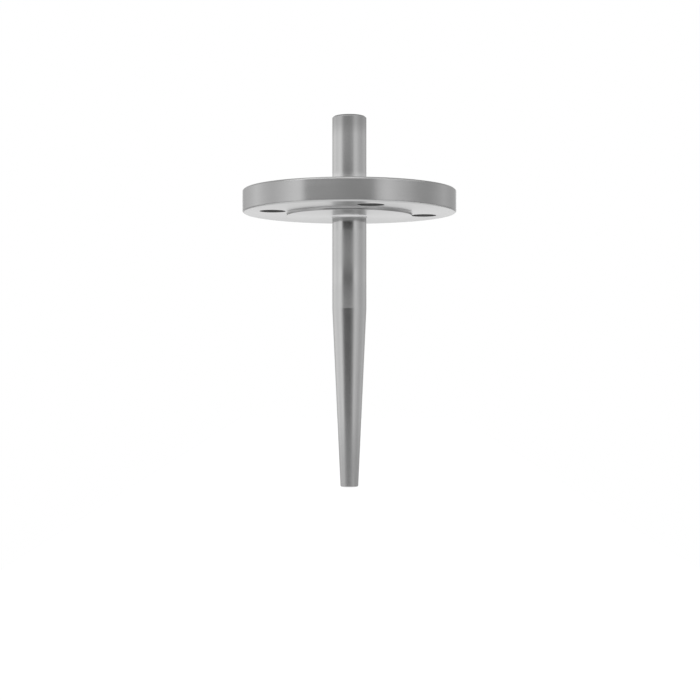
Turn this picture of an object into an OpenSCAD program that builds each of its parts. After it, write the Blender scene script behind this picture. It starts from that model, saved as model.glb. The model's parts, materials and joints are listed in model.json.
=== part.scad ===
// Flanged thermowell: a drilled and tapered bar stem, welded through a raised-face flange.
// Z is the stem's axis. Z = 0 is the sealing face, the tip is below it and the head above it.

/* [Stem] */
// Length that reaches into the process, from the sealing face to the tip
insertion_len = 190; // [150:5:340]
// Length above the sealing face, up to the top of the head
head_len = 70; // [50:1:120]
// Diameter of the parallel shank
shank_d = 24; // [22:0.5:28]
// Length of the taper above the tip
taper_len = 125; // [65:5:130]
// Diameter that the taper comes down to
tip_d = 12.5; // [12:0.5:17]
// Radius that breaks the edge of the tip
tip_radius = 0.8; // [0.3:0.1:2]
// Chamfer round the outside of the top face
top_chamfer = 1; // [0.5:0.25:1.5]

/* [Sensor bore] */
// Diameter of the blind bore for the measuring insert
bore_d = 7; // [6:0.1:7.5]
// Solid metal between the point of the bore and the tip
tip_wall = 6; // [4:0.5:10]
// Point angle of the drills that leave the bore's end and the socket's shoulder
drill_point = 118; // [90:1:140]

/* [Head thread] */
// Nominal diameter of the internal thread that takes the neck tube
thread_d = 18; // [14:1:18]
// Pitch of that thread
thread_pitch = 1.5; // [1:0.25:2]
// Depth of the tapped socket, down to the drill's shoulder
socket_depth = 20; // [14:1:25]
// How far the countersink at the mouth opens past the nominal thread, on the diameter
mouth_extra = 1; // [0.4:0.2:2]

/* [Flange] */
// Outside diameter
flange_d = 150; // [145:5:165]
// Thickness, with the raised face
flange_t = 18; // [16:1:24]
// Diameter of the raised face
raised_d = 88; // [80:1:90]
// Height of the raised face
raised_h = 2; // [1:0.5:3]
// Diameter of the circle that the bolt holes lie on
bolt_circle_d = 110; // [110:1:118]
// Diameter of each bolt hole
bolt_hole_d = 18; // [14:1:18]
// Number of bolt holes, which straddle the X and Y axes
bolt_count = 4; // [4, 8]
// Chamfer on both edges of the rim
rim_chamfer = 1; // [0.5:0.25:1.5]
// Chamfer that deburrs both ends of each bolt hole
hole_chamfer = 0.2; // [0.2:0.1:1]

/* [Welds] */
// Leg of the fillet on the back, which is also the width of the bevel that its root fills
back_leg = 6; // [4:0.5:7]
// How far behind the corner the arc of that fillet's domed surface is centred, in legs
back_crown = 0.6; // [0.4:0.1:2]
// Leg of the dressed fillet under the sealing face, and the width of its bevel
face_leg = 1.5; // [1.5:0.25:4]
// How far past the corner the arc of that fillet's hollow surface is centred, in legs
face_hollow = 1.6; // [1.3:0.1:3]

/* [Hidden] */
$fn = 128;

// Depth of a basic internal thread profile, on the radius, as a share of the pitch
thread_depth = 5 * sqrt(3) / 16;
arc_steps = 8;
// How far a cut runs past the face that it opens
overrun = 1;

stem_steel = "#b4b6b8";
flange_steel = "#bfc1c2";
weld_steel = "#a9a7a2";

shank_r = shank_d / 2;
tip_r = tip_d / 2;
tip_z = -insertion_len;
taper_angle = atan((shank_r - tip_r) / taper_len);

bore_r = bore_d / 2;
thread_minor_r = thread_d / 2 - thread_depth * thread_pitch;
mouth_r = (thread_d + mouth_extra) / 2;

// Height of the cone that a drill's point leaves between two radii
function point_height(outer_r, inner_r = 0) = (outer_r - inner_r) / tan(drill_point / 2);

// Points along an arc round a centre
function arc(centre, r, from, to) =
    [for (i = [0 : arc_steps])
        let (a = from + (to - from) * i / arc_steps)
        centre + r * [cos(a), sin(a)]];

// The arc at the tip is tangent to the end face and to the taper
tip_arc_centre = [
    tip_r - tip_radius * (1 - sin(taper_angle)) / cos(taper_angle),
    tip_z + tip_radius
];

// Outside of the bar, as radius and height
bar_outline = concat(
    [[0, tip_z]],
    arc(tip_arc_centre, tip_radius, -90, -taper_angle),
    [
        [shank_r, tip_z + taper_len],
        [shank_r, head_len - top_chamfer],
        [shank_r - top_chamfer, head_len],
        [0, head_len]
    ]
);

// What the drills, the tap's core diameter and the countersink take out of the bar
bore_end_z = tip_z + tip_wall;
socket_z = head_len - socket_depth;
bore_outline = [
    [0, bore_end_z],
    [bore_r, bore_end_z + point_height(bore_r)],
    [bore_r, socket_z - point_height(thread_minor_r, bore_r)],
    [thread_minor_r, socket_z],
    [thread_minor_r, head_len - (mouth_r - thread_minor_r)],
    [mouth_r + overrun, head_len + overrun],
    [0, head_len + overrun]
];

// Half section of the turned flange, whose bore is bevelled for the welds
rim_r = flange_d / 2;
flange_outline = [
    [shank_r, face_leg],
    [shank_r + face_leg, 0],
    [raised_d / 2, 0],
    [raised_d / 2, raised_h],
    [rim_r - rim_chamfer, raised_h],
    [rim_r, raised_h + rim_chamfer],
    [rim_r, flange_t - rim_chamfer],
    [rim_r - rim_chamfer, flange_t],
    [shank_r + back_leg, flange_t],
    [shank_r, flange_t - back_leg]
];

// Half section of one drilled and deburred bolt hole
hole_r = bolt_hole_d / 2;
hole_outline = [
    [0, raised_h - overrun],
    [hole_r + hole_chamfer + overrun, raised_h - overrun],
    [hole_r, raised_h + hole_chamfer],
    [hole_r, flange_t - hole_chamfer],
    [hole_r + hole_chamfer + overrun, flange_t + overrun],
    [0, flange_t + overrun]
];

// The bar stem: turned outside, gun-drilled for the insert and tapped at the head
module stem() {
    color(stem_steel)
    difference() {
        rotate_extrude() polygon(bar_outline);
        rotate_extrude() polygon(bore_outline);
    }
}

module bolt_holes() {
    for (i = [0 : bolt_count - 1])
        rotate((i + 0.5) * 360 / bolt_count)
        translate([bolt_circle_d / 2, 0])
        rotate_extrude() polygon(hole_outline);
}

// The flange, bored to the shank's diameter
module flange() {
    color(flange_steel)
    difference() {
        rotate_extrude() polygon(flange_outline);
        bolt_holes();
    }
}

// Section of a weld: a root that fills the flange's bevel, and an arc from toe to toe. The
// corner is the origin, the shank runs along +Y and the flange along +X. The arc is centred on
// the diagonal, behind the corner for a domed surface and past the toes for a hollow one.
module weld_section(leg, centre) {
    polygon(concat(
        [[0, -leg]],
        arc(
            [centre, centre],
            norm([leg - centre, centre]),
            atan2(-centre, leg - centre),
            atan2(leg - centre, -centre)
        )
    ));
}

// The weld on the back, left as a domed bead
module back_weld() {
    color(weld_steel)
    rotate_extrude()
    translate([shank_r, flange_t])
    weld_section(back_leg, -back_crown * back_leg);
}

// The weld under the sealing face, dressed to a small hollow fillet
module face_weld() {
    color(weld_steel)
    rotate_extrude()
    translate([shank_r, 0])
    mirror([0, 1])
    weld_section(face_leg, face_hollow * face_leg);
}

stem();
flange();
back_weld();
face_weld();
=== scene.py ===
import json
import math

import bmesh
import bpy
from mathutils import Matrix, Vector, noise


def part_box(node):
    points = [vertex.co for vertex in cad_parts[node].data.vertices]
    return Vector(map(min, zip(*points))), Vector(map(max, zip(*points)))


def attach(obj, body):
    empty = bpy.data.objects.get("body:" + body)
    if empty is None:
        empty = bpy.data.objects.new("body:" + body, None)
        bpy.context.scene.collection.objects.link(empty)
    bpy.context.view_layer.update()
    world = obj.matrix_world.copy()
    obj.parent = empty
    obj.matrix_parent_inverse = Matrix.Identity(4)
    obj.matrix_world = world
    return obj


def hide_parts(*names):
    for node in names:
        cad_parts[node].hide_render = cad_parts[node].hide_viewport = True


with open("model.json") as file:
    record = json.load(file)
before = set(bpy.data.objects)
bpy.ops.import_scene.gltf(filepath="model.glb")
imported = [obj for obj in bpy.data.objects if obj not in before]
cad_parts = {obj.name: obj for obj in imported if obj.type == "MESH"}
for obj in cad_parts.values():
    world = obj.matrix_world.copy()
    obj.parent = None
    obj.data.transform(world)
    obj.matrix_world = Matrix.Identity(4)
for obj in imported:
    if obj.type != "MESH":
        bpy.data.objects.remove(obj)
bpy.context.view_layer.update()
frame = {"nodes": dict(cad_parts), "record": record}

# Flanged thermowell in 316L stainless: a drilled bar stem, a turned flange and two weld beads.
# Everything is in metres, with Z up the stem and the sealing face at Z = 0.

mm = 0.001
near = 0.01 * mm  # two sizes closer than this are the same
fullRing = 24     # more vertices than this at one radius and height are a turned edge
mounts = {m["name"]: m for m in frame["record"]["mounts"]}
print("frame loaded:", ", ".join(sorted(frame["nodes"])))


def turnedEdges(node):
    # every (radius, height) that a full ring of the node's vertices shares, from the axis outwards
    counts = {}
    for v in frame["nodes"][node].data.vertices:
        edge = (round(math.hypot(v.co.x, v.co.y), 6), round(v.co.z, 6))
        counts[edge] = counts.get(edge, 0) + 1
    return sorted(edge for edge, count in counts.items() if count > fullRing)


def edgesUpwards(node):
    return sorted(turnedEdges(node), key=lambda edge: edge[1])


def heightsAt(node, radius):
    return sorted(z for r, z in turnedEdges(node) if abs(r - radius) < near)


def radiiAt(node, height):
    return sorted(r for r, z in turnedEdges(node) if abs(z - height) < near)


tipZ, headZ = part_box("stem")[0].z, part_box("stem")[1].z
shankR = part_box("stem")[1].x
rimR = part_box("flange")[1].x
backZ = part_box("flange")[1].z
taperZ = heightsAt("stem", shankR)[0]  # the crease where the taper meets the shank


def softened(corners, steps=4):
    # corners are (radius, height, setback), and each is eased off by a small curve of that setback.
    # The first corner is taken to follow the last.
    points = []
    for i, (r, z, setback) in enumerate(corners):
        corner = Vector((r, z))
        if not setback:
            points.append((r, z))
            continue
        before = Vector(corners[i - 1][:2])
        after = Vector(corners[(i + 1) % len(corners)][:2])
        start = corner + (before - corner).normalized() * setback
        end = corner + (after - corner).normalized() * setback
        for k in range(steps + 1):
            t = k / steps
            points.append(tuple(start.lerp(corner, t).lerp(corner.lerp(end, t), t)))
    return points


def spaced(points, longest, guard):
    # adds points along long straight runs, and close to both of their ends, so that a smooth
    # corner bends the shading only there
    filled = [points[0]]
    for (r0, z0), (r1, z1) in zip(points, points[1:]):
        start, end = Vector((r0, z0)), Vector((r1, z1))
        length = (end - start).length
        if length > longest:
            count = math.ceil(length / longest)
            shares = [guard / length] + [k / count for k in range(1, count)] + [1 - guard / length]
            filled += [tuple(start.lerp(end, share)) for share in shares]
        filled.append((r1, z1))
    return filled


def turned(name, outline, spokes, ring=False):
    # spins an outline of (radius, height) points round Z. A point may also be a function that
    # gives both at an angle. ring joins the last point to the first, for a part with a hole.
    bm = bmesh.new()
    rows = []
    for point in outline:
        if not callable(point) and point[0] == 0:
            rows.append([bm.verts.new((0, 0, point[1]))] * spokes)
            continue
        row = []
        for k in range(spokes):
            angle = 2 * math.pi * k / spokes
            r, z = point(angle) if callable(point) else point
            row.append(bm.verts.new((r * math.cos(angle), r * math.sin(angle), z)))
        rows.append(row)
    pairs = list(zip(rows, rows[1:]))
    if ring:
        pairs.append((rows[-1], rows[0]))
    for low, high in pairs:
        for k in range(spokes):
            after = (k + 1) % spokes
            corners = [low[k], low[after], high[after], high[k]]
            bm.faces.new(list(dict.fromkeys(corners)))  # a triangle where a row is on the axis
    bmesh.ops.recalc_face_normals(bm, faces=bm.faces)
    mesh = bpy.data.meshes.new(name)
    bm.to_mesh(mesh)
    bm.free()
    piece = bpy.data.objects.new(name, mesh)
    bpy.context.scene.collection.objects.link(piece)
    return piece


def shadeSmooth(piece, sharpAngle):
    # smooth round the turning, crisp at real corners
    for face in piece.data.polygons:
        face.use_smooth = True
    piece.data.set_sharp_from_angle(angle=math.radians(sharpAngle))


def keepFlats(piece):
    # flat faces stay flat up to their eased edges
    flat = piece.modifiers.new("flatFaces", "WEIGHTED_NORMAL")
    flat.keep_sharp = True
    flat.weight = 80


def standFor(piece, node):
    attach(piece, "root")
    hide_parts(node)


noiseLow, noiseHigh = 0.3, 0.7  # a noise texture stays mostly between these


def linear(hexColour):
    channels = [int(hexColour[i:i + 2], 16) / 255 for i in (1, 3, 5)]
    return [c / 12.92 if c <= 0.04045 else ((c + 0.055) / 1.055) ** 2.4 for c in channels] + [1]


def addNode(tree, kind, inputs=None, **settings):
    node = tree.nodes.new(kind)
    for name, value in settings.items():
        setattr(node, name, value)
    for key, value in (inputs or {}).items():
        if isinstance(value, bpy.types.NodeSocket):
            tree.links.new(value, node.inputs[key])
        else:
            node.inputs[key].default_value = value
    return node


def fillRamp(ramp, stops):
    # stops are (position, colour), with positions running from low to high
    while len(ramp.elements) < len(stops):
        ramp.elements.new(0.5)
    for element, (position, colour) in zip(ramp.elements, stops):
        element.position = position
        element.color = colour


def newMaterial(name):
    material = bpy.data.materials.new(name)
    material.use_nodes = True
    material.node_tree.nodes.clear()
    return material


def cutSteel(name, spec):
    # 316L stainless, cut and then left or polished. Turning leaves fine rings round the axis, so
    # reflections stay crisp round the part and smear along it. Polishing up and down the bar
    # leaves fine lines along it, and smears them the other way. The grey wanders a little.
    material = newMaterial(name)
    tree = material.node_tree
    place = addNode(tree, "ShaderNodeTexCoord").outputs["Object"]
    split = addNode(tree, "ShaderNodeSeparateXYZ", {0: place})
    if spec["lengthwise"]:
        marked = place
        smearTurn = 0.0
    else:
        # rings lie at equal radius on a face and at equal height on a cylinder
        across = addNode(tree, "ShaderNodeVectorMath", {0: place, 1: (1, 1, 0)}, operation="MULTIPLY")
        radius = addNode(tree, "ShaderNodeVectorMath", {0: across.outputs[0]}, operation="LENGTH")
        drift = addNode(tree, "ShaderNodeMath", {0: split.outputs["X"], 1: split.outputs["Y"]})
        marked = addNode(tree, "ShaderNodeCombineXYZ", {
            "X": radius.outputs["Value"], "Y": split.outputs["Z"], "Z": drift.outputs[0]}).outputs[0]
        smearTurn = 0.25  # a quarter turn
    fine, run = 1 / (spec["markPitch"] * mm), 1 / (spec["markRun"] * mm)
    stretched = addNode(tree, "ShaderNodeVectorMath", {0: marked, 1: (fine, fine, run)},
                        operation="MULTIPLY")
    marks = addNode(tree, "ShaderNodeTexNoise", {
        "Vector": stretched.outputs[0], "Scale": 1.0, "Detail": 1.0, "Roughness": 0.4})
    patches = addNode(tree, "ShaderNodeTexNoise", {
        "Vector": place, "Scale": 1 / (spec["patch"] * mm), "Detail": 2.0, "Roughness": 0.5})
    both = addNode(tree, "ShaderNodeMix", {
        "Factor": 0.5, 2: marks.outputs["Fac"], 3: patches.outputs["Fac"]})  # half of each
    colour = addNode(tree, "ShaderNodeMix", {
        "Factor": both.outputs[0], 6: linear(spec["dark"]), 7: linear(spec["light"])},
        data_type="RGBA").outputs[2]
    rough = addNode(tree, "ShaderNodeMapRange", {
        "Value": both.outputs[0], "From Min": noiseLow, "From Max": noiseHigh,
        "To Min": spec["roughness"] - spec["roughSpread"],
        "To Max": spec["roughness"] + spec["roughSpread"]}).outputs[0]
    for band in spec.get("bands", []):
        # a band round the bar with its own colour and roughness, which fades out past its bottom and its
        # top. Some bands' colours are painted light, as said where the bands are listed.
        above, below = [addNode(tree, "ShaderNodeMapRange", {
            "Value": split.outputs["Z"], "From Min": gone * mm, "From Max": full * mm},
            interpolation_type="SMOOTHSTEP").outputs[0] for gone, full in
            ((band["bottom"] - band["fade"], band["bottom"]), (band["top"] + band["fade"], band["top"]))]
        share = addNode(tree, "ShaderNodeMath", {0: above, 1: below}, operation="MULTIPLY").outputs[0]
        colour = addNode(tree, "ShaderNodeMix", {
            "Factor": share, 6: colour, 7: linear(band["colour"])}, data_type="RGBA").outputs[2]
        rough = addNode(tree, "ShaderNodeMix", {
            "Factor": share, 2: rough, 3: band["roughness"]}).outputs[0]
    bump = addNode(tree, "ShaderNodeBump", {
        "Strength": 1.0, "Distance": spec["markDepth"] * mm, "Height": marks.outputs["Fac"]})
    tangent = addNode(tree, "ShaderNodeTangent", direction_type="RADIAL", axis="Z")
    shader = addNode(tree, "ShaderNodeBsdfPrincipled", {
        "Base Color": colour, "Metallic": 1.0, "Roughness": rough,
        "Anisotropic": spec["smear"], "Anisotropic Rotation": smearTurn,
        "Normal": bump.outputs[0], "Tangent": tangent.outputs[0]})
    addNode(tree, "ShaderNodeOutputMaterial", {"Surface": shader.outputs[0]})
    return material


def weldedSteel(name, spec):
    # 316L filler metal. As welded it is a little rougher and warmer than the turned steel, with
    # straw heat tint where it ran hottest.
    material = newMaterial(name)
    tree = material.node_tree
    place = addNode(tree, "ShaderNodeTexCoord").outputs["Object"]
    patches = addNode(tree, "ShaderNodeTexNoise", {
        "Vector": place, "Scale": 1 / (spec["patch"] * mm), "Detail": 4.0, "Roughness": 0.6})
    grain = addNode(tree, "ShaderNodeTexNoise", {
        "Vector": place, "Scale": 1 / (spec["grain"] * mm), "Detail": 3.0, "Roughness": 0.6})
    tint = addNode(tree, "ShaderNodeValToRGB", {"Fac": patches.outputs["Fac"]})
    fillRamp(tint.color_ramp, [
        (spec["cleanBelow"], linear(spec["clean"])), (spec["strawAbove"], linear(spec["straw"]))])
    rough = addNode(tree, "ShaderNodeMapRange", {
        "Value": grain.outputs["Fac"], "From Min": noiseLow, "From Max": noiseHigh,
        "To Min": spec["roughness"] - spec["roughSpread"],
        "To Max": spec["roughness"] + spec["roughSpread"]})
    bump = addNode(tree, "ShaderNodeBump", {
        "Strength": 1.0, "Distance": spec["grainDepth"] * mm, "Height": grain.outputs["Fac"]})
    shader = addNode(tree, "ShaderNodeBsdfPrincipled", {
        "Base Color": tint.outputs["Color"], "Metallic": 1.0, "Roughness": rough.outputs[0],
        "Normal": bump.outputs[0]})
    addNode(tree, "ShaderNodeOutputMaterial", {"Surface": shader.outputs[0]})
    return material


stem = {
    "spokes": 192,
    "sharpAngle": 28,      # degrees, above which an edge is shaded as a corner
    "edge": 0.12,          # mm that sharp edges are eased by
    "rowGap": 8.0,         # mm between rows along the bar
    "guard": 0.4,          # mm from a corner to the row that guards its shading
    "tipZone": 2.0,        # mm above the end face in which the tip's round is looked for
    "threadRow": 0.1,      # mm between the rows that carry the thread
    "pitch": 1.5,          # mm, M18 x 1.5
    "nominal": 18.0,       # mm over the thread's roots
    "leadTurns": 2.0,      # turns over which the tap's lead fades out above the shoulder
    "crestFlat": 0.25,     # share of the pitch left flat at the core diameter
    "rootFlat": 0.125,     # share of the pitch left flat at the nominal diameter
    "barSteel": {          # polished up and down: bright, with its reflections drawn out round the bar
        "dark": "#cacaca", "light": "#d6d6d6", "roughness": 0.19, "roughSpread": 0.015,
        "smear": 1.0, "lengthwise": True,
        "markPitch": 0.9,    # mm. Real polishing lines are under 0.1 mm apart, drawn wider to show
        "markRun": 40.0,     # mm along a line before it changes
        "markDepth": 0.002,  # mm
        "patch": 14.0,       # mm across one patch of lighter or darker grey
        # bands of their own colour and roughness, in mm of height, some with painted light in their
        # colour, as said at each. They stay under a roughness of 0.27, because a change across it leaves
        # a faint line in the render.
        "bands": [
            # the end of the taper, a little duller
            {"bottom": -190.0, "top": -178.0, "fade": 45.0, "colour": "#c6c6c6", "roughness": 0.265},
            # halfway down the shank and just under the face weld, polished brighter
            {"bottom": -43.5, "top": -41.0, "fade": 9.0, "colour": "#d2d2d2", "roughness": 0.16},
            {"bottom": -8.0, "top": -3.0, "fade": 4.5, "colour": "#cacaca", "roughness": 0.13},
            # against the face weld, dulled where it was dressed, and painted paler there: a painted
            # highlight that makes the fillet's highlight taller and lightens its reflection in the
            # flange's underside
            {"bottom": -2.0, "top": 0.0, "fade": 0.8, "colour": "#dedede", "roughness": 0.265},
            # above the back weld, pickled matt, and painted pale there: painted light standing in for the
            # flange's back reflected in the bar
            {"bottom": 18.0, "top": 25.5, "fade": 6.0, "colour": "#ececec", "roughness": 0.265},
            # the head, a darker grey
            {"bottom": 66.0, "top": 70.0, "fade": 12.0, "colour": "#bababa", "roughness": 0.2},
        ],
    },
    "socketSteel": {       # drilled and tapped: duller, with rings round the hole
        "dark": "#a9aaab", "light": "#c2c3c4", "roughness": 0.34, "roughSpread": 0.04,
        "smear": 0.5, "lengthwise": False,
        "markPitch": 0.5, "markRun": 8.0, "markDepth": 0.004, "patch": 6.0,
    },
}


def threadDepthAt(share):
    # 0 on the crest flat at the core diameter, 1 on the root flat, with straight flanks between
    fromRoot = abs(share % 1.0 - 0.5)
    flank = 0.5 - (stem["crestFlat"] + stem["rootFlat"]) / 2
    return min(1.0, max(0.0, (0.5 - stem["crestFlat"] / 2 - fromRoot) / flank))


def threadedRows(shoulderZ, coreR, mouthR):
    # rows from the mouth down to the shoulder, with a right-hand helix cut into the core wall
    depth = stem["nominal"] / 2 * mm - coreR
    pitch = stem["pitch"] * mm
    count = round((headZ - shoulderZ) / (stem["threadRow"] * mm))
    rows = []
    for k in range(1, count):
        z = headZ + (shoulderZ - headZ) * k / count
        lead = min(1.0, (z - shoulderZ) / (stem["leadTurns"] * pitch))
        sink = mouthR - (headZ - z)  # the countersink's cone at this height

        def wall(angle, z=z, lead=lead, sink=sink):
            cut = threadDepthAt(z / pitch - angle / (2 * math.pi))
            return max(coreR + depth * lead * cut, sink), z
        rows.append(wall)
    return rows


def makeStem():
    edge = stem["edge"] * mm
    coreR = mounts["head_thread"]["dims"]["r_mm"] * mm
    boreR = mounts["sensor_bore"]["dims"]["r_mm"] * mm
    shoulderZ = heightsAt("stem", coreR)[0]
    boreEndZ, boreTopZ = heightsAt("stem", boreR)
    boreTipZ = min(v.co.z for v in frame["nodes"]["stem"].data.vertices
                   if math.hypot(v.co.x, v.co.y) < near and v.co.z > tipZ + edge)
    mouthR, topR = radiiAt("stem", headZ)
    chamferZ = heightsAt("stem", shankR)[-1]
    tipRound = [(r, z) for r, z in edgesUpwards("stem")
                if z < tipZ + stem["tipZone"] * mm and r > boreR]
    outside = softened([
        (shankR, taperZ, 0),
        (shankR, chamferZ, edge),
        (topR, headZ, edge),
        (mouthR, headZ, edge / 2),  # eased straight down, and the thread's rows go on from there
    ])
    outside = spaced(tipRound + outside, stem["rowGap"] * mm, stem["guard"] * mm)
    inside = threadedRows(shoulderZ, coreR, mouthR)
    inside += [(coreR, shoulderZ), (boreR, boreTopZ), (boreR, boreEndZ), (0, boreTipZ)]
    piece = turned("turned_stem", [(0, tipZ)] + outside + inside, stem["spokes"])
    shadeSmooth(piece, stem["sharpAngle"])
    keepFlats(piece)
    piece.data.materials.append(cutSteel("polishedStainlessBar", stem["barSteel"]))
    piece.data.materials.append(cutSteel("drilledStainlessSocket", stem["socketSteel"]))
    leansIn = -0.1  # less than this, and a face looks towards the axis, as a bore's wall does
    for face in piece.data.polygons:
        if face.normal.xy.dot(face.center.xy.normalized()) < leansIn:
            face.material_index = 1
    standFor(piece, "stem")
    print("stem made")


flange = {
    "spokes": 288,
    "holeSpokes": 96,
    "sharpAngle": 28,    # degrees, above which an edge is shaded as a corner
    "edge": 0.2,         # mm that sharp edges are eased by
    "rimEdge": 0.4,      # mm, the same on the rim's chamfers, which get handled most
    "stepCorner": 1.1,   # mm that the tool's nose leaves in the corner behind the raised face
    "faceSteel": {       # faced on a lathe: an even grey sheen with faint rings
        "dark": "#bababa", "light": "#c6c6c6", "roughness": 0.32, "roughSpread": 0.02,
        "smear": 0.5, "lengthwise": False,
        "markPitch": 1.0,    # mm. The real feed is about 0.1 mm, drawn wider so that it shows
        "markRun": 60.0, "markDepth": 0.002, "patch": 25.0,
    },
    "gasketSteel": {     # the same, with deeper rings a little further apart
        "dark": "#bababa", "light": "#c6c6c6", "roughness": 0.32, "roughSpread": 0.02,
        "smear": 0.5, "lengthwise": False,
        "markPitch": 1.2,    # mm. A gasket face is cut at about 0.4 mm, drawn wider so that it shows
        "markRun": 90.0, "markDepth": 0.003, "patch": 25.0,
    },
    "holeSteel": {       # drilled: rough and dull, and painted dark grey for the shade inside the holes
        "dark": "#7c7c7c", "light": "#8e8e8e", "roughness": 0.45, "roughSpread": 0.04,
        "smear": 0.4, "lengthwise": False,
        "markPitch": 0.8, "markRun": 6.0, "markDepth": 0.008, "patch": 8.0,
    },
    "rimSteel": {        # turned with a fine feed: clearer, with its reflections drawn out upright
        "dark": "#b4b4b4", "light": "#c2c2c2", "roughness": 0.24, "roughSpread": 0.02,
        "smear": 0.9, "lengthwise": False,
        "markPitch": 1.0,    # mm. The real feed is about 0.1 mm, drawn wider so that it shows
        "markRun": 40.0, "markDepth": 0.003, "patch": 18.0,
    },
}


def holeChamfer(circleR, count, holeR):
    # how much wider than its wall one hole opens at the flange's back
    centre = Vector((math.cos(math.pi / count), math.sin(math.pi / count))) * circleR
    widths = [(v.co.xy - centre).length for v in frame["nodes"]["flange"].data.vertices
              if abs(v.co.z - backZ) < near]
    return min(widths) - holeR


def drillHoles(piece, raisedZ, circleR, count, holeR):
    chamfer = holeChamfer(circleR, count, holeR)
    past = 1 * mm  # how far the drill runs past each face
    outline = [
        (0, raisedZ - past), (holeR + chamfer + past, raisedZ - past),
        (holeR, raisedZ + chamfer), (holeR, backZ - chamfer),
        (holeR + chamfer + past, backZ + past), (0, backZ + past),
    ]
    for k in range(count):
        angle = 2 * math.pi * (k + 0.5) / count
        drill = turned("drill", outline, flange["holeSpokes"])
        drill.location = (circleR * math.cos(angle), circleR * math.sin(angle), 0)
        cut = piece.modifiers.new("hole", "BOOLEAN")
        cut.operation = "DIFFERENCE"
        cut.solver = "EXACT"
        cut.object = drill
        bpy.context.view_layer.update()
        drilled = bpy.data.meshes.new_from_object(
            piece.evaluated_get(bpy.context.evaluated_depsgraph_get()))
        piece.modifiers.remove(cut)
        piece.data = drilled
        bpy.data.objects.remove(drill)


def makeFlange():
    edge, rimEdge = flange["edge"] * mm, flange["rimEdge"] * mm
    raisedR = radiiAt("flange", 0)[-1]
    raisedZ = heightsAt("flange", raisedR)[-1]
    rimLowZ, rimHighZ = heightsAt("flange", rimR)
    chamfer = backZ - rimHighZ
    boreLowZ, boreHighZ = heightsAt("flange", shankR)
    toeFace, toeBack = radiiAt("flange", 0)[0], radiiAt("flange", backZ)[0]
    piece = turned("turned_flange", softened([
        (shankR, boreLowZ, 0),
        (toeFace, 0, 0),
        (raisedR, 0, edge),
        (raisedR, raisedZ, flange["stepCorner"] * mm),
        (rimR - chamfer, raisedZ, rimEdge),
        (rimR, rimLowZ, rimEdge),
        (rimR, rimHighZ, rimEdge),
        (rimR - chamfer, backZ, rimEdge),
        (toeBack, backZ, 0),
        (shankR, boreHighZ, 0),
    ]), flange["spokes"], ring=True)
    pattern = mounts["bolt_circle"]["dims"]
    circleR, holeR = pattern["pcd_mm"] / 2 * mm, pattern["hole_r_mm"] * mm
    drillHoles(piece, raisedZ, circleR, pattern["count"], holeR)
    shadeSmooth(piece, flange["sharpAngle"])
    keepFlats(piece)
    for name, key in (("facedStainless", "faceSteel"), ("facedStainlessSeal", "gasketSteel"),
                      ("drilledStainlessHole", "holeSteel"), ("turnedStainlessRim", "rimSteel")):
        piece.data.materials.append(cutSteel(name, flange[key]))
    slack = 0.05 * mm
    upright = 0.5  # less than this share of a face's normal along Z, and it is a wall
    for face in piece.data.polygons:
        r = math.hypot(face.center.x, face.center.y)
        isWall = abs(face.normal.z) < upright
        if face.center.z < slack:
            face.material_index = 1  # the sealing face
        elif isWall and abs(r - circleR) < holeR + slack:
            face.material_index = 2  # a bolt hole's wall
        elif isWall and r > rimR - chamfer:
            face.material_index = 3  # the rim
    standFor(piece, "flange")
    print("flange made")


backWeld = {
    "spokes": 720,
    "acrossSteps": 14,
    "sharpAngle": 60,      # degrees, above which an edge is shaded as a corner
    "ripple": 1.6,         # mm from one ripple to the next
    "rippleHeight": 0.22,  # mm
    "rippleLean": 0.6,     # under 1 brings the top of a ripple forward of its middle
    "rippleGain": 2.2,     # brings the top of a leaning ripple up to about 0.76 of its height
    "bow": 1.1,            # ripples that the middle of the bead runs ahead of its toes
    "wobble": 0.15,        # mm that the hand wanders by
    "wobbleScale": 3.0,    # more makes it wander more often round the bead
    "tieIn": 14.0,         # degrees each way over which the start and stop of the bead overlap
    "tieInHeight": 0.5,    # mm
    "steel": {             # as welded: rippled and satin, with straw heat tint in patches
        "clean": "#b9b8b5", "cleanBelow": 0.38, "straw": "#b3a283", "strawAbove": 0.72,
        "roughness": 0.36, "roughSpread": 0.06,
        "patch": 9.0,        # mm across a patch of tint
        "grain": 0.8,        # mm. Real weld grain is about 0.1 mm, drawn wider so that it shows
        "grainDepth": 0.03,  # mm
    },
}


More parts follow.
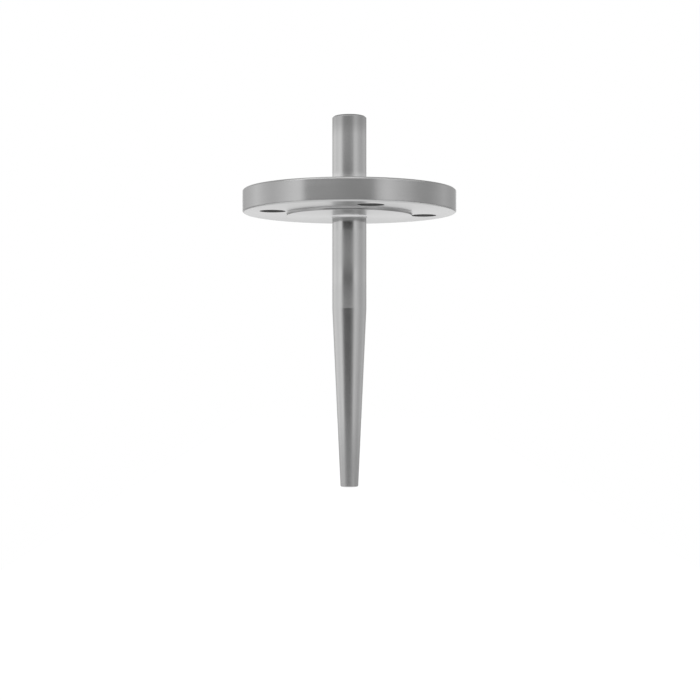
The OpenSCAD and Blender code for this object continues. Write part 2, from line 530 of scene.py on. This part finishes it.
def makeBackWeld():
    # a TIG bead: overlapping crescents round the shank, with a lump where it closes on itself
    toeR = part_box("back_weld")[1].x
    rootZ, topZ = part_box("back_weld")[0].z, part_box("back_weld")[1].z
    arc = [(r, z) for r, z in edgesUpwards("back_weld")
           if z > backZ - near and r > shankR or z > topZ - near]
    meanR = (toeR + shankR) / 2
    ripples = round(2 * math.pi * meanR / (backWeld["ripple"] * mm))
    outward = Vector((1, 1)).normalized()

    def onArc(t):
        # the weld solid's own outline, read between its points
        place = t * (len(arc) - 1)
        i = min(int(place), len(arc) - 2)
        return Vector(arc[i]).lerp(Vector(arc[i + 1]), place - i)

    outline = []
    for k in range(backWeld["acrossSteps"] + 1):
        t = k / backWeld["acrossSteps"]

        def surface(angle, t=t):
            swell = math.sin(math.pi * t)  # nothing moves at the toes
            phase = (angle / (2 * math.pi) * ripples - backWeld["bow"] * swell) % 1.0
            crest = phase ** backWeld["rippleLean"] * (1 - phase) * backWeld["rippleGain"]
            height = backWeld["rippleHeight"] * mm * (crest - 0.5)
            at = Vector((math.cos(angle), math.sin(angle), t)) * backWeld["wobbleScale"]
            wobble = noise.noise(at) * backWeld["wobble"] * mm
            away = abs(math.degrees((angle + math.pi) % (2 * math.pi) - math.pi))
            lump = backWeld["tieInHeight"] * mm * max(0, 1 - (away / backWeld["tieIn"]) ** 2) ** 2
            return onArc(t) + outward * (swell ** 0.5 * (height + wobble) + swell * lump)

        outline.append(surface)
    piece = turned("back_bead", outline + [(shankR, rootZ)], backWeld["spokes"], ring=True)
    shadeSmooth(piece, backWeld["sharpAngle"])
    piece.data.materials.append(weldedSteel("tigWeldedStainless", backWeld["steel"]))
    standFor(piece, "back_weld")
    print("back weld made:", ripples, "ripples")


faceWeld = {
    "spokes": 192,
    "sharpAngle": 40,  # degrees, above which an edge is shaded as a corner
    "steel": {         # ground with a small wheel: satin, nearly the same all ways; its pale grey is a painted highlight that makes the fillet's highlight taller
        "dark": "#d8d8d8", "light": "#e4e4e4", "roughness": 0.42, "roughSpread": 0.04,
        "smear": 0.2, "lengthwise": False,
        "markPitch": 0.5, "markRun": 5.0, "markDepth": 0.004, "patch": 5.0,
    },
}


def makeFaceWeld():
    # ground back to a small hollow fillet, so that a gasket's bore clears it
    arc = [edge for edge in edgesUpwards("face_weld") if edge[1] < near]
    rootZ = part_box("face_weld")[1].z
    piece = turned("face_fillet", arc + [(shankR, rootZ)], faceWeld["spokes"], ring=True)
    shadeSmooth(piece, faceWeld["sharpAngle"])
    keepFlats(piece)
    piece.data.materials.append(cutSteel("groundStainlessWeld", faceWeld["steel"]))
    standFor(piece, "face_weld")
    print("face weld made")


makeStem()
makeFlange()
makeBackWeld()
makeFaceWeld()


studio = {
    "azimuth": 30.0,         # degrees that the camera stands round from -Y
    "distance": 900.0,       # mm from the stem's axis
    "height": -94.0,         # mm, level with the upper part of the taper, looking level
    "sideStep": 0.45,        # mm that the camera stands to its right of the axis
    "sensor": 36.0,          # mm
    "lens": 65.83,           # mm
    "floorDrop": 220.0,      # mm from the tip down to the floor, because a nozzle holds the well
    "floorFront": 0.35,      # m of floor towards the camera
    "floorBack": 5.0,        # m of floor behind
    "floorHalf": 0.5,        # m of floor to each side
    "floorColour": "#f2f2f2",
    "floorGlow": 1.27,       # strength of the floor's own glow, which brings it just up to white
    "floorGlowShare": 0.55,  # the rest is matt board, which takes the lamps and the shadow
    "white": "#ffffff",
    # broad lamps high on the camera's side. They light the floor and catch the turned edges.
    "lamps": [
        {"name": "keyLamp", "azimuth": -40, "elevation": 55, "strength": 0.9, "spread": 70},
        {"name": "fillLamp", "azimuth": 55, "elevation": 50, "strength": 0.6, "spread": 70},
    ],
}


def towards(azimuth, elevation):
    # unit vector from the part, with azimuth 0 at the camera and turning to its right
    a = math.radians(studio["azimuth"] + azimuth)
    e = math.radians(elevation)
    return Vector((math.sin(a) * math.cos(e), -math.cos(a) * math.cos(e), math.sin(e)))


def makeCamera():
    data = bpy.data.cameras.new("camera")
    data.sensor_width = studio["sensor"]
    data.lens = studio["lens"]
    camera = bpy.data.objects.new("camera", data)
    camera.location = towards(0, 0) * studio["distance"] * mm
    camera.location += towards(90, 0) * studio["sideStep"] * mm
    camera.location.z = studio["height"] * mm
    camera.rotation_euler = (math.pi / 2, 0, math.radians(studio["azimuth"]))
    bpy.context.scene.collection.objects.link(camera)
    bpy.context.scene.camera = camera


def makeFloor():
    z = tipZ - studio["floorDrop"] * mm
    right, back = towards(90, 0), towards(180, 0)
    half, front, rear = studio["floorHalf"], studio["floorFront"], studio["floorBack"]
    corners = [right * side * half + back * depth for side, depth in
               ((-1, -front), (1, -front), (1, rear), (-1, rear))]
    mesh = bpy.data.meshes.new("floor")
    mesh.from_pydata([(c.x, c.y, z) for c in corners], [], [(0, 1, 2, 3)])
    floor = bpy.data.objects.new("floor", mesh)
    bpy.context.scene.collection.objects.link(floor)
    # pale matt board. To the camera and in the steel a share of it glows, so it meets the white
    # behind it and still takes a shadow.
    material = newMaterial("paleMattBoard")
    tree = material.node_tree
    path = addNode(tree, "ShaderNodeLightPath")
    direct = addNode(tree, "ShaderNodeMath", {
        0: path.outputs["Is Camera Ray"], 1: path.outputs["Is Transmission Ray"]}, operation="MAXIMUM")
    seen = addNode(tree, "ShaderNodeMath", {
        0: direct.outputs[0], 1: path.outputs["Is Glossy Ray"]}, operation="MAXIMUM")
    share = addNode(tree, "ShaderNodeMath", {
        0: seen.outputs[0], 1: studio["floorGlowShare"]}, operation="MULTIPLY")
    matt = addNode(tree, "ShaderNodeBsdfDiffuse", {"Color": linear(studio["floorColour"])})
    glow = addNode(tree, "ShaderNodeEmission", {
        "Color": linear(studio["white"]), "Strength": studio["floorGlow"]})
    mixed = addNode(tree, "ShaderNodeMixShader", {
        0: share.outputs[0], 1: matt.outputs[0], 2: glow.outputs[0]})
    addNode(tree, "ShaderNodeOutputMaterial", {"Surface": mixed.outputs[0]})
    mesh.materials.append(material)


# what stands round the part, as (degrees, level or share). Degrees run round from the camera to
# its right, or up from the horizon. A level of 1 is white.
room = {
    "round": {
        "walls": [  # level, which is white where the paper stands behind the part
            (-180, 1.0), (-166, 1.0), (-160, 0.5), (-152, 0.58), (-130, 0.8), (-116, 1.0), (-100, 0.82),
            (-88, 0.76), (-66, 0.98), (-50, 1.0), (-44, 0.5), (18, 0.5), (27, 0.7), (40, 0.88),
            (54, 0.68), (76, 0.5), (95, 0.52), (120, 0.7), (138, 0.55), (160, 0.5), (166, 1.0),
            (180, 1.0)],
        "darkRoom": [  # share by which the dark room behind the camera stands in for the walls
            (-180, 0), (-53, 0), (-43, 1), (22, 1), (31, 0), (180, 0)],
        "paper": [  # share by which the steel sees the paper's full white
            (-180, 1), (-167, 1), (-166, 0), (166, 0), (167, 1), (180, 1)],
    },
    "rise": {
        "walls": [  # share of the walls' level that is left
            (-90, 0.3), (-40, 0.3), (-14, 0.85), (-5, 1.0), (12, 1.0), (35, 0.75), (60, 0.5), (90, 0.35)],
        "darkRoom": [  # level. Its steep steps give the bar its dark and pale patches
            (-90, 0.75), (-70, 0.85), (-32, 0.85), (-22, 0.5), (-15, 0.36), (-11, 0.34), (-8.5, 0.26),
            (-6, 0.13), (-3, 0.11), (0.4, 0.1), (1.3, 0.46), (2.2, 0.5), (2.6, 0.0), (3.8, 0.0),
            (4.1, 0.64), (4.8, 0.6), (5.1, 0.02), (5.5, 0.0), (7.2, 0.0), (7.7, 0.36), (9.2, 0.38),
            (11, 0.36), (13, 0.58), (25, 0.62), (40, 0.5), (60, 0.35), (90, 0.3)],
        "paper": [  # share, which ends at the paper's top
            (-90, 1), (35, 1), (50, 0), (90, 0)],
    },
}


def makeWorld():
    # a plain studio: bright walls to the left and right, a dark room behind the camera. The camera
    # sees white all round, and the steel sees it where the paper stands.
    world = bpy.data.worlds.new("studio")
    world.use_nodes = True
    tree = world.node_tree
    tree.nodes.clear()
    ray = addNode(tree, "ShaderNodeTexCoord").outputs["Generated"]
    facing = addNode(tree, "ShaderNodeVectorRotate", {
        "Vector": ray, "Angle": -math.radians(studio["azimuth"])}, rotation_type="Z_AXIS")
    split = addNode(tree, "ShaderNodeSeparateXYZ", {0: facing.outputs[0]})
    front = addNode(tree, "ShaderNodeMath", {0: split.outputs["Y"], 1: -1.0}, operation="MULTIPLY")
    around = addNode(tree, "ShaderNodeMath", {0: split.outputs["X"], 1: front.outputs[0]},
                     operation="ARCTAN2")
    rise = addNode(tree, "ShaderNodeMath", {0: split.outputs["Z"]}, operation="ARCSINE")
    ramps = {}
    for way, angle, limit in (("round", around, math.pi), ("rise", rise, math.pi / 2)):
        share = addNode(tree, "ShaderNodeMapRange", {
            "Value": angle.outputs[0], "From Min": -limit, "From Max": limit})
        for name, stops in room[way].items():
            low, high = stops[0][0], stops[-1][0]
            ramp = addNode(tree, "ShaderNodeValToRGB", {"Fac": share.outputs[0]})
            fillRamp(ramp.color_ramp, [
                ((place - low) / (high - low), (level, level, level, 1)) for place, level in stops])
            ramps[way, name] = ramp.outputs["Color"]
    lit = addNode(tree, "ShaderNodeMix", {
        "Factor": 1.0, 6: ramps["round", "walls"], 7: ramps["rise", "walls"]},
        data_type="RGBA", blend_type="MULTIPLY")
    level = addNode(tree, "ShaderNodeMix", {
        "Factor": ramps["round", "darkRoom"], 6: lit.outputs[2], 7: ramps["rise", "darkRoom"]},
        data_type="RGBA")
    walls = addNode(tree, "ShaderNodeBackground", {"Color": level.outputs[2], "Strength": 1.0})
    paper = addNode(tree, "ShaderNodeBackground", {"Color": linear(studio["white"]), "Strength": 1.0})
    path = addNode(tree, "ShaderNodeLightPath")
    direct = addNode(tree, "ShaderNodeMath", {
        0: path.outputs["Is Camera Ray"], 1: path.outputs["Is Transmission Ray"]}, operation="MAXIMUM")
    behind = addNode(tree, "ShaderNodeMath", {
        0: ramps["round", "paper"], 1: ramps["rise", "paper"]}, operation="MULTIPLY")
    mirrored = addNode(tree, "ShaderNodeMath", {
        0: behind.outputs[0], 1: path.outputs["Is Glossy Ray"]}, operation="MULTIPLY")
    seen = addNode(tree, "ShaderNodeMath", {
        0: direct.outputs[0], 1: mirrored.outputs[0]}, operation="MAXIMUM")
    mixed = addNode(tree, "ShaderNodeMixShader", {
        0: seen.outputs[0], 1: walls.outputs[0], 2: paper.outputs[0]})
    addNode(tree, "ShaderNodeOutputWorld", {"Surface": mixed.outputs[0]})
    bpy.context.scene.world = world


def makeLamps():
    for spec in studio["lamps"]:
        data = bpy.data.lights.new(spec["name"], "SUN")
        data.energy = spec["strength"]
        data.angle = math.radians(spec["spread"])
        aim = towards(spec["azimuth"], spec["elevation"])
        lamp = bpy.data.objects.new(spec["name"], data)
        lamp.location = aim
        lamp.rotation_euler = aim.to_track_quat("Z", "Y").to_euler()
        bpy.context.scene.collection.objects.link(lamp)


makeCamera()
makeFloor()
makeWorld()
makeLamps()
bpy.context.scene.view_settings.view_transform = "Standard"
print("studio made")
